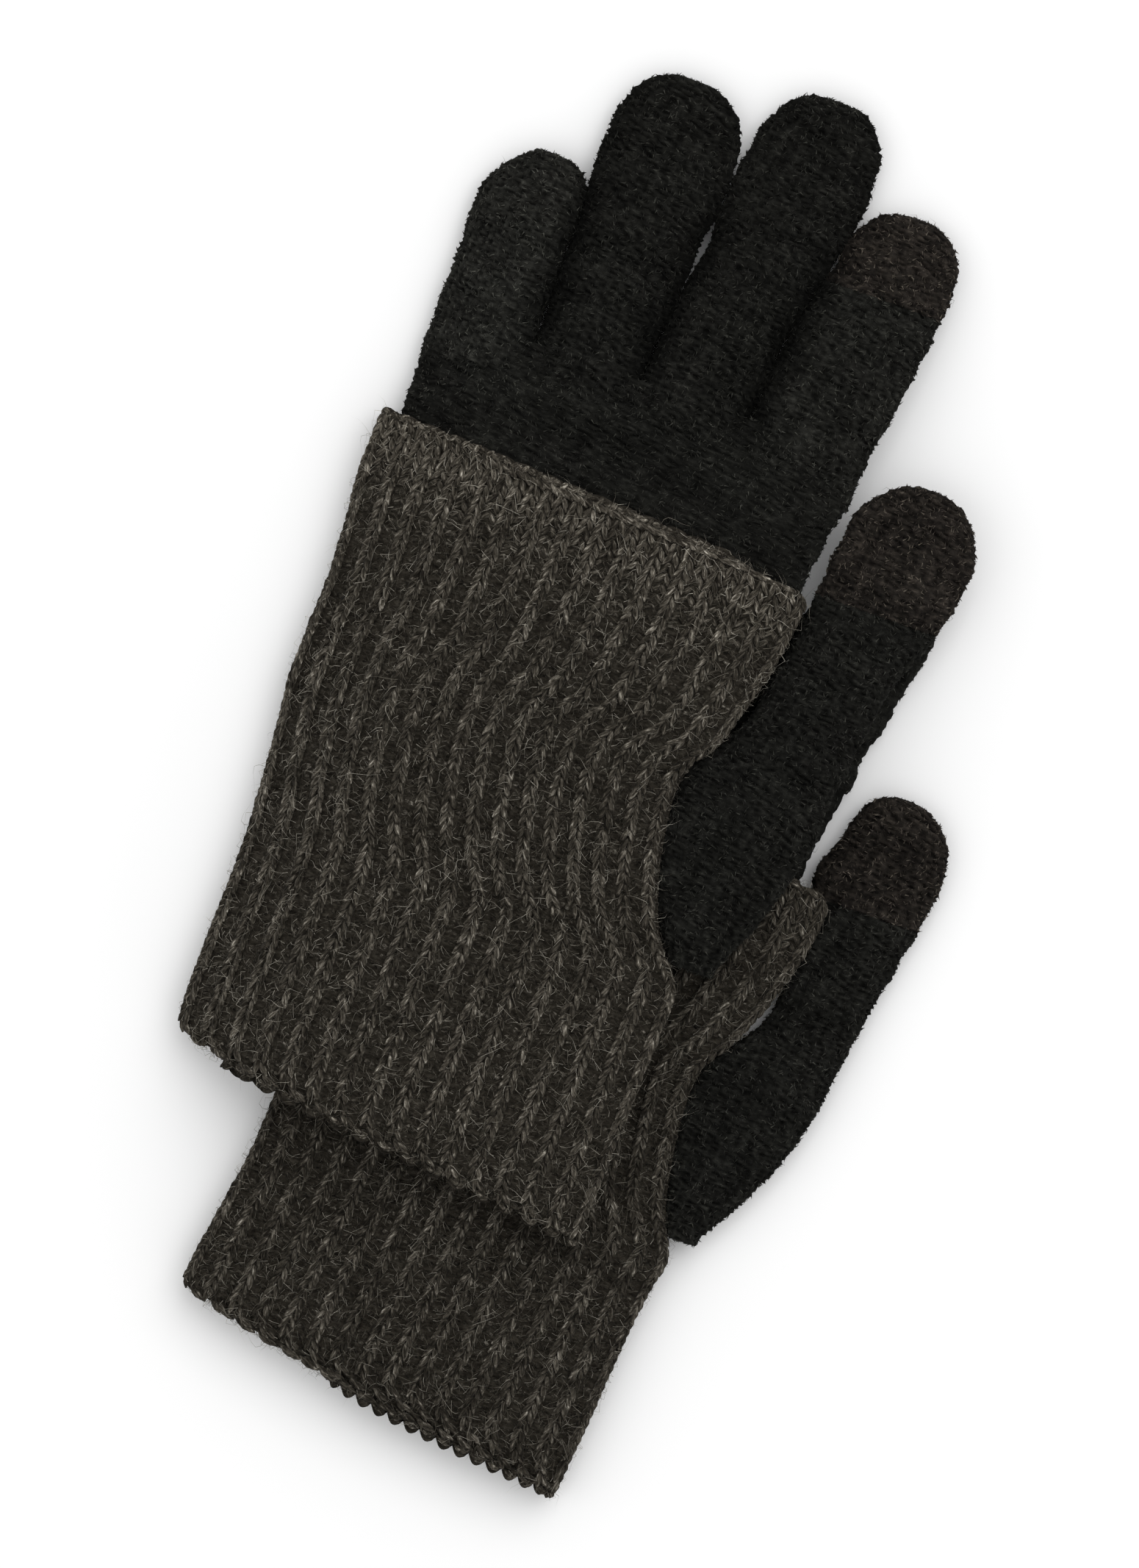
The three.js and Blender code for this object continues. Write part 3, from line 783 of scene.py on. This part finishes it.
def makeSleeveFuzz(glove, length):
    for face, half in sleeveFaces.items():
        us, vs = np.linspace(half["from"], half["to"], 129), np.linspace(0.0, 1.0, 41)
        points, out, _, _ = glove.outwards(us, vs)
        crest = ribCrest(us)[None, :]
        flat = (1 - smoothstep(4, sleeveKnit["flatTop"], (1 - vs) * length))[:, None]
        surface = points + out * (-0.3 - 0.4 * (1 - crest))[:, :, None]
        faces = gridFaces(np.arange(len(vs) * len(us)).reshape(len(vs), len(us)))
        name = f"{glove.name}_sleeve_fuzz_{face}"
        guide = makeMesh(name + "_guide", surface.reshape(-1, 3) * mm, faces, materials["woolHair"])
        # painted shade on the fibres in the furrows, lighter towards the finger end, times the glove's
        # painted light share
        shade = mix(mix(sleeveKnit["furrowShade"], 1.0, crest), 1.25, flat) * glove.shape["paintedLight"]
        storeValues(guide, "shade", shade)
        piece = growFibres(guide, name, woolFuzz, materials["woolHair"], half["fuzz"])
        bpy.data.objects.remove(guide)
        finishPiece(piece, "sleeve_wool", (glove.name + "_sleeve_tube",))


# liner: hand, wrist rib, fingers and thumb

linerKnit = {
    "wall": 1.2,              # mm
    "depth": 2.9,             # mm inside the sleeve's outer face
    "wristRibs": 96,
    "fingerSquareness": 1.8,
    "puff": 1.3,              # mm, the brushed face stands this much higher than the knit in it
    # left and right shoulder of each tip
    "tips": {"pinky_finger": (1.35, 2.8), "ring_finger": (2.0, 2.6), "middle_finger": (2.0, 2.7),
             "index_touch_tip": (2.5, 2.05), "index_finger": (2.5, 2.05),
             "thumb": (1.95, 2.2), "thumb_touch_tip": (1.95, 2.2)},
    "paintedLightByPart": {"pinky_finger": 1.95, "index_finger": 1.5, "index_touch_tip": 1.15, "thumb": 1.15,
               "liner_hand": 1.2, "thumb_touch_tip": 1.05},      # painted light: these parts' plush is painted lighter, as if more light falls on them
    "plainShade": 1.12,
    "creaseShade": 0.3,       # painted shade: how dark the plush is painted in the creases where fingers press together
    "roundTip": (2.15, 2.2),
    "handSquareness": 7.0,
    "loop": 0.26,             # mm, height of the brushed loops
    "loopPitch": 1.15,        # mm
    "touching": 0.5,          # mm, how far neighbouring fingers press into each other
    "ringStep": 0.55,         # mm between the rings of a finger
    "sides": 112,             # points round a finger
}

plushPile = [
    {"Density": 1600000.0, "Length": 0.00085, "Thickness": 0.0003, "Bend": 0.15,
     "Lean Low": 0.9, "Lean High": 1.5, "Segments": 1},
    {"Density": 14000.0, "Length": 0.0018, "Thickness": 0.00008, "Bend": 0.7,
     "Lean Low": 0.6, "Lean High": 1.5, "Segments": 3},
]


class KnitField:
    # an irregular small relief with one main size: many waves of nearly the same length, added up
    def __init__(self, pitch, waves=26, seed=5):
        draw = np.random.default_rng(seed)
        directions = draw.normal(0, 1, (waves, 3)) * (0.65, 1.0, 0.9)      # longer across the finger
        directions /= np.linalg.norm(directions, axis=1, keepdims=True)
        directions[:, 0] *= 0.65
        self.waves = directions * math.tau / (pitch * draw.uniform(0.75, 1.35, (waves, 1)))
        self.phases = draw.uniform(0, math.tau, waves)
        self.size = math.sqrt(2 / waves)

    def at(self, points):
        total = np.zeros(points.shape[:-1])
        for wave, phase in zip(self.waves, self.phases):
            total += np.sin(points @ wave + phase)
        return total * self.size


loops = KnitField(linerKnit["loopPitch"])
lumps = KnitField(9.0, 14, 9)          # slow lumps in the plush, where it has been worn and folded


def makeTubeLiner(glove):
    # the hand and wrist rib: open tubes, so the pocket for the hand shows at the cuff
    slit = (glove.slitLow - glove.rightHem[1]) / (glove.rightTop[1] - glove.rightHem[1])
    ribs, depth = linerKnit["wristRibs"], linerKnit["depth"]
    tubes = (("wrist_rib", "_knit", 0.06, slit, 4 * ribs, "wrist", "wrist_rib_knit"),
             ("liner_hand", "_inside_sleeve", slit, 0.93, 160, "liner", "liner_plush"))
    for part, ending, lowV, highV, columns, material, slotName in tubes:
        us, vs = np.linspace(0, 1, columns + 1), np.linspace(lowV, highV, 40)
        outer, inner = [glove.skin(us, vs, inside, opened=False, sideRoom=1.2)
                        for inside in (depth, depth + linerKnit["wall"])]
        replaced = ()
        if part == "wrist_rib":
            wave = (0.5 + 0.5 * np.cos(us * ribs * math.tau))[None, :, None]
            outer = outer + (inner - outer) * 0.35 * wave
            inner = inner + (outer - inner) * 0.25 * wave
            replaced = (glove.name + "_wrist_rib",)
        piece = closedSlab(f"{glove.name}_{part}{ending}", outer, inner, materials[material])
        finishPiece(piece, slotName, (glove.name + "_glove",), replaced)


def tubeAlong(name, rings, material):
    # closed loft through rings that run towards +Y, each end closed to a point
    count = len(rings[0])
    grid = np.arange(len(rings) * count).reshape(len(rings), count)
    faces = gridFaces(np.column_stack([grid, grid[:, 0]]))
    first, last = grid.size, grid.size + 1
    points = np.concatenate([*rings, rings[0].mean(0)[None], rings[-1].mean(0)[None]])
    for c in range(count):
        n = (c + 1) % count
        faces.append((first, grid[0, c], grid[0, n]))
        faces.append((last, grid[-1, n], grid[-1, c]))
    return makeMesh(name, points * mm, faces, material)


def sectionPoints(left, right, y, mid, half, leftSquare, rightSquare, lie, count):
    angle = (np.arange(count) + 0.5) / count * math.tau
    c, s = np.cos(angle), np.sin(angle)
    square = np.where(c > 0, rightSquare, leftSquare)
    x = (left + right) / 2 + (right - left) / 2 * soften(c, square)
    z = half * soften(s, square)
    # spread the points evenly round the section
    loopX, loopZ = np.append(x, x[0]), np.append(z, z[0])
    run = lengthAlong(loopX, loopZ)
    even = np.arange(count) / count * run[-1]
    x, z = np.interp(even, run, loopX), np.interp(even, run, loopZ)
    return np.stack([x, np.full(count, y), z + mid + lie(x, np.full(count, y))], axis=1)


def ringNormals(rings):
    stack = np.array(rings)
    across = np.roll(stack, -1, axis=1) - np.roll(stack, 1, axis=1)
    along = np.gradient(stack, axis=0)
    return unit(np.cross(along, across))


def tipShape(outline, ys, powers):
    # left and right edge rounded over at the end, from the CAD's tip
    tipPoint = outline.points[outline.points[:, 1].argmax()]
    nearEnd = tipPoint[1] - 17
    left, right = outline.smoothEdges(np.minimum(ys, nearEnd))
    half = (right - left) / 2 + 0.2
    tipY = tipPoint[1] - 0.3
    reach = 1.12 * half
    turn = np.clip((ys - tipY + reach) / reach, 0, 1)
    leftPower, rightPower = powers
    narrowLeft = (1 - turn ** leftPower) ** (1 / leftPower)
    narrowRight = (1 - turn ** rightPower) ** (1 / rightPower)
    centre = mix((left + right) / 2, tipPoint[0], turn ** 1.5)
    return centre - half * narrowLeft, centre + half * narrowRight, (narrowLeft + narrowRight) / 2


def noCreaseShade(ys):
    return ys * 0.0


def makeDigit(glove, part, outlined, replaced, stretch, edges, section, ride, material="liner",
              detail=1.0, creaseShading=(noCreaseShade, noCreaseShade)):
    # one finger or thumb, or the stretch of it between two cuts, with its pile
    outline = NodeOutline(*outlined)
    lowY, highY = stretch
    tipY = outline.high[1] - 0.3
    step = linerKnit["ringStep"] / detail
    ys = np.linspace(lowY, highY, max(8, int((highY - lowY) / step)))
    if highY >= outline.high[1] - 0.5:
        ease = np.linspace(0, 1, int(13 / step))[1:]       # the rings come closer towards the tip
        ys = np.concatenate([ys[ys < tipY - 7], tipY - 7 + 7 * np.sin(ease * math.pi / 2)])
        ys[-1] = tipY - 0.004
    left, right, narrow = tipShape(outline, ys, linerKnit["tips"].get(part, linerKnit["roundTip"]))
    left, right = edges(ys, left, right)
    rings = []
    for i, y in enumerate(ys):
        leftSquare, rightSquare, mid, thick, puff = section(y)
        half = (fingerMid * thick + puff / 2) * max(narrow[i], 0.02) ** 0.75
        mid = mid + puff / 2 - (fingerMid - half) * 0.7 * (1 - narrow[i])
        rings.append(sectionPoints(left[i], right[i], y, mid, half, leftSquare, rightSquare, glove.lie,
                                   int(linerKnit["sides"] * detail)))
    stack = np.array(rings)
    fine, slow = loops.at(stack), lumps.at(stack)
    relief = (linerKnit["loop"] * fine + 0.13 * slow - 0.15) * np.minimum(1, narrow * 2.5)[:, None]
    sideways = (stack[:, :, 0] - ((left + right) / 2)[:, None]) / ((right - left) / 2 + 0.1)[:, None]
    # painted shade: the plush is painted darker along each side that lies against a neighbouring finger
    creaseShadow = sum(smoothstep(0.5, 1.0, sign * sideways) * crease(ys)[:, None]
                  for sign, crease in zip((-1, 1), creaseShading))
    shade = mix(1.0, linerKnit["creaseShade"], creaseShadow)
    # painted light and shade: the plush is painted lighter on the crests of its loops and darker in their
    # pits, and a little with the slow lumps
    shade = shade * (1 + 0.42 * np.clip(fine, -1.6, 1.6) + 0.08 * slow)
    # painted light: each part's plush is scaled by its painted light factor from the table above
    shade = shade * linerKnit["paintedLightByPart"].get(part, linerKnit["plainShade"])
    stack = stack + ringNormals(rings) * relief[..., None]
    name = f"{glove.name}_{part}"
    piece = tubeAlong(name + "_plush", list(stack), materials[material])
    storeValues(piece, "shade", np.append(shade, [shade[0].mean(), shade[-1].mean()]))
    pile = growFibres(piece, name + "_pile", plushPile, materials[material + "Pile"], detail)
    joinPieces(piece, pile)
    finishPiece(piece, "touch_yarn" if material == "touch" else "liner_plush", ride, replaced)


rootShape = {      # mm beyond the knuckles, from where each change starts to where it is complete
    "outOfSleeve": (-36, -6),      # the hand widens to the fingers' roots
    "descent": (-30, -4),          # from the middle of the cuff down to the middle of the fingers
    "handPuff": (-26, -12),
    "handThinning": (-12, -2),
    "squareRoot": (-18, -1),       # the fingers' roots have the hand's square sides
    "rootPuff": (-16, -6),
    "apart": (-10, 1),             # from the shared roots to the fingers' own edges
    # where the painted crease shade comes in, and where it fades
    "crease": (-14, -3),
    "creaseFades": (34, 52),
}

fingerShapes = {      # side, mm it is moved, then from where to where beyond the knuckles it is moved
    "upper": {"pinky": [("right", 1.1, 20, 36)],
              "ring": [("left", -0.7, 30, 50), ("right", -0.6, 24, 31, 35, 42)],
              "middle": [("left", 0.6, 24, 31, 35, 42)],       # a sliver of table shows between these two
              "index": []},
    "lower": {"pinky": [("right", 1.1, 20, 36)],
              "ring": [("left", -0.7, 30, 50)],
              "middle": [("right", -4.5, 12, 28)],             # they lie apart, under the upper glove
              "index": [("left", 5.0, 12, 28)],
              "besideThumb": (3.0, -8, 2, 24, 36)},            # the index shows beside the upper thumb
}


def makeFingers(glove):
    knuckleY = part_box(glove.name + "_middle_finger")[0].y / mm
    names = ["pinky", "ring", "middle", "index"]
    outlines = [NodeOutline(f"{glove.name}_{n}_finger") for n in names]
    roots = [outline.edgesAt(knuckleY + 0.5) for outline in outlines]
    hand = (roots[0][0] + glove.shape["hand"][0], roots[3][1] + glove.shape["hand"][1])
    inside = (glove.leftTop[0] + glove.shape["underSleeve"][0],
              glove.rightTop[0] + glove.shape["underSleeve"][1])
    borders = [hand[0], *[(roots[i][1] + roots[i + 1][0]) / 2 for i in range(3)], hand[1]]
    changes = fingerShapes[glove.name]
    thumbOver = NodeOutline("upper_thumb")
    detail = glove.shape["detail"]
    touching = linerKnit["touching"]

    def grown(change, y):
        return smoothstep(*[knuckleY + distance for distance in rootShape[change]], y)

    def handEdges(ys, left, right):
        return [mix(hand[i], inside[i], 1 - grown("outOfSleeve", ys)) for i in (0, 1)]

    def handSection(y):
        # the flat of the hand, thinning where the finger roots grow out of it
        return (3.2, 3.2, mix(gloveMid, fingerMid, grown("descent", y)),
                mix(1.0, 0.5, grown("handThinning", y)), linerKnit["puff"] * grown("handPuff", y))

    makeDigit(glove, "liner_hand", [f"{glove.name}_ring_finger"], [f"{glove.name}_liner_hand"],
              (knuckleY - 40, knuckleY - 1), handEdges, handSection, (glove.name + "_glove",),
              detail=detail)

    for i, n in enumerate(names):
        first, last = i == 0, i == 3

        def edges(ys, left, right, i=i, n=n, first=first, last=last):
            # neighbouring fingers press together near the knuckles
            closed = 1 - grown("apart", ys)
            left = mix(left - touching, borders[i] - (0.1 if first else touching), closed)
            right = mix(right + touching, borders[i + 1] + (0.1 if last else touching), closed)
            for side, distance, *places in changes[n]:
                start, full, fading, end = [knuckleY + p for p in (*places, 1000, 1001)[:4]]
                moved = distance * within(start, full, fading, end, ys)
                left, right = (left + moved, right) if side == "left" else (left, right + moved)
            if last and "besideThumb" in changes:
                distance, *places = changes["besideThumb"]
                shown = np.array([thumbOver.edgesAt(y)[1] for y in ys]) + distance
                right = mix(right, shown, within(*[knuckleY + p for p in places], ys))
            return left, right

        def section(y, first=first, last=last):
            flatness = 1 - grown("squareRoot", y)
            inner = linerKnit["fingerSquareness"] + linerKnit["handSquareness"] * flatness ** 2
            outer = linerKnit["fingerSquareness"] + 0.8 * flatness
            mid = mix(gloveMid, fingerMid, grown("descent", y))
            rooted = grown("rootPuff", y)
            return (outer if first else inner, outer if last else inner, mid, mix(0.7, 1.0, rooted),
                    linerKnit["puff"] * rooted)

        def creaseShadeAt(ys):
            # painted shade: how strongly the crease beside this finger is painted dark, from the crotch
            # to where the fingers part
            return grown("crease", ys) * (1 - 0.6 * grown("creaseFades", ys))

        nodes = [f"{glove.name}_{n}_finger"] + ([f"{glove.name}_index_touch_tip"] if last else [])
        tipY = NodeOutline(*nodes).high[1]
        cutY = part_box(nodes[1])[0].y / mm if last else tipY
        low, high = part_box(nodes[0])
        ride = tipRide = (glove.name + "_glove",)
        if glove.name == "upper":
            bend = [(low.x, (knuckleY + beyond) * mm, high.z) for beyond in (-6, 6)]
            ride, tipRide = (glove.name + "_glove", f"upper_{n}_stall", *bend), (f"upper_{n}_stall",)
        makeDigit(glove, n + "_finger", nodes, nodes[:1], (knuckleY - 14, cutY), edges, section, ride,
                  detail=detail, creaseShading=(noCreaseShade if first else creaseShadeAt, noCreaseShade if last else creaseShadeAt))
        if last:
            makeDigit(glove, "index_touch_tip", nodes, nodes[1:], (cutY, tipY), edges, section, tipRide,
                      "touch", detail, (creaseShadeAt, noCreaseShade))


thumbShapes = {      # mm the edge is moved, then the y where it starts, is full, fades and ends
    "upper": {"left": (-0.5, 30, 54, 74, 82), "right": 1.1, "besideIndex": -1.8},
    "lower": {"left": (-5.2, -45, -20, -9, 5), "right": 0.9, "besideIndex": 0.0},     # against the hand
}


def makeThumb(glove):
    joint = next(j for j in frame["joints"] if j["name"] == glove.name + "_thumb_fold")
    pivot, axis = Vector(joint["pos_m"]), Vector(joint["axis"])
    nodes = [glove.name + "_thumb", glove.name + "_thumb_touch_tip"]
    outline = NodeOutline(*nodes)
    rootY, tipY = outline.low[1], outline.high[1]
    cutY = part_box(nodes[1])[0].y / mm
    shape = thumbShapes[glove.name]

    def edges(ys, left, right):
        # the root reaches in under the edge of the slit, and the side closes up to the sleeve
        inSlit = within(glove.slitLow - 8, glove.slitLow + 6, glove.slitHigh - 6, glove.slitHigh + 10, ys)
        beside = 1 - smoothstep(cutY - 22, cutY + 4, ys)
        left = left - 5.5 * inSlit - 0.8 * beside * (1 - inSlit)
        left = left + shape["left"][0] * within(*shape["left"][1:], ys)
        besideIndex = within(rootY + 35, rootY + 45, cutY - 16, cutY - 3, ys)
        return left, right + (shape["right"] + shape["besideIndex"] * besideIndex)

    def section(y):
        mid = mix(fingerMid, gloveMid, 1 - smoothstep(rootY + 12, rootY + 80, y))
        return 2.2, 2.2, mid, 1.0, linerKnit["puff"] * smoothstep(rootY + 20, rootY + 60, y)

    aside = axis.cross(Vector((0, 0, 1))).normalized()
    aside *= math.copysign(1, aside.x)
    ride = (glove.name + "_glove", glove.name + "_thumb_stall",
            tuple(pivot - aside * 4 * mm), tuple(pivot + aside * 5 * mm))
    makeDigit(glove, "thumb", nodes, nodes[:1], (rootY - 2, cutY), edges, section, ride)
    makeDigit(glove, "thumb_touch_tip", nodes, nodes[1:], (cutY, tipY), edges, section,
              (glove.name + "_thumb_stall",), "touch")


# mm, and degrees for the tilt
seamYarn = {"pitch": 2.3, "leg": 2.9, "yarn": 1.0, "bow": 0.15, "apart": 0.45, "tilt": 27.0}


def makeSeams(glove):
    # linked seams inside the sleeve, above and below the thumb slit: a chain of small stitches
    for place in ("above", "below"):
        node = f"{glove.name}_seam_{place}_thumb"
        outline = NodeOutline(node)
        ys = np.arange(outline.low[1] + 1.5, outline.high[1] - 1.2, seamYarn["pitch"])
        left, right = outline.smoothEdges(ys, 3.0)
        middle = np.stack([(left + right) / 2, ys, np.full(len(ys), gloveMid)], axis=1)
        middle[:, 2] += glove.lie(middle[:, 0], middle[:, 1])
        along = unit(np.gradient(middle, axis=0))
        tilt = math.radians(seamYarn["tilt"])
        points, directions, outwards = [], [], []
        for facing in np.array([(1, 0, 0), (0, 0, 1), (-1, 0, 0), (0, 0, -1)], float):
            across = np.cross(along, facing)
            for side in (-1, 1):
                points.append(middle + across * side * seamYarn["apart"] + facing * 0.35)
                directions.append(along * math.cos(tilt) - across * side * math.sin(tilt))
                outwards.append(np.tile(facing, (len(ys), 1)))
        points = np.concatenate(points)
        yarn = {"Leg Length": seamYarn["leg"] * mm, "Yarn Thickness": seamYarn["yarn"] * mm,
                "Bow": seamYarn["bow"] * mm, "Sides": 5, "Rings": 4}
        piece = knitLegs(node + "_chain", points, directions, outwards, np.ones(points.shape),
                         np.ones(len(points)), yarn, materials["seam"])
        finishPiece(piece, "seam_yarn", (glove.name + "_sleeve_tube",), (node,))


for glove in (Glove("lower"), Glove("upper")):
    makeSleeve(glove)
    makeTubeLiner(glove)
    makeFingers(glove)
    makeThumb(glove)
    makeSeams(glove)
    print(glove.name, "glove made")


# table and light

stage = {
    "floor": "#f4f4f4",
    "sky": 0.87,
    "lights": {"key": {"power": 20.0, "size": 2.0, "place": (0.4, 1.15, 2.0)},      # watts, metres
               "fill": {"power": 2.0, "size": 1.4, "place": (-1.1, -0.6, 1.6)}},
}


def makeStage(values):
    bpy.ops.mesh.primitive_plane_add(size=6, location=(0, 0, -0.0004))
    floor = bpy.context.object
    floor.name = "table"
    material, tree = newMaterial("paleTable", 0.9, 0.0)
    tree.nodes["Principled BSDF"].inputs["Base Color"].default_value = linear(values["floor"])
    floor.data.materials.append(material)
    world = bpy.data.worlds.new("studio")
    world.use_nodes = True
    background = world.node_tree.nodes["Background"]
    background.inputs["Color"].default_value = (1, 1, 1, 1)
    background.inputs["Strength"].default_value = values["sky"]
    bpy.context.scene.world = world
    for name, light in values["lights"].items():
        data = bpy.data.lights.new(name, "AREA")
        data.energy = light["power"]
        data.size = light["size"]
        lamp = bpy.data.objects.new(name, data)
        lamp.location = light["place"]
        lamp.rotation_euler = (-Vector(light["place"])).to_track_quat("-Z", "Y").to_euler()
        bpy.context.scene.collection.objects.link(lamp)
    bpy.context.scene.view_settings.view_transform = "Standard"


makeStage(stage)
print("stage made")
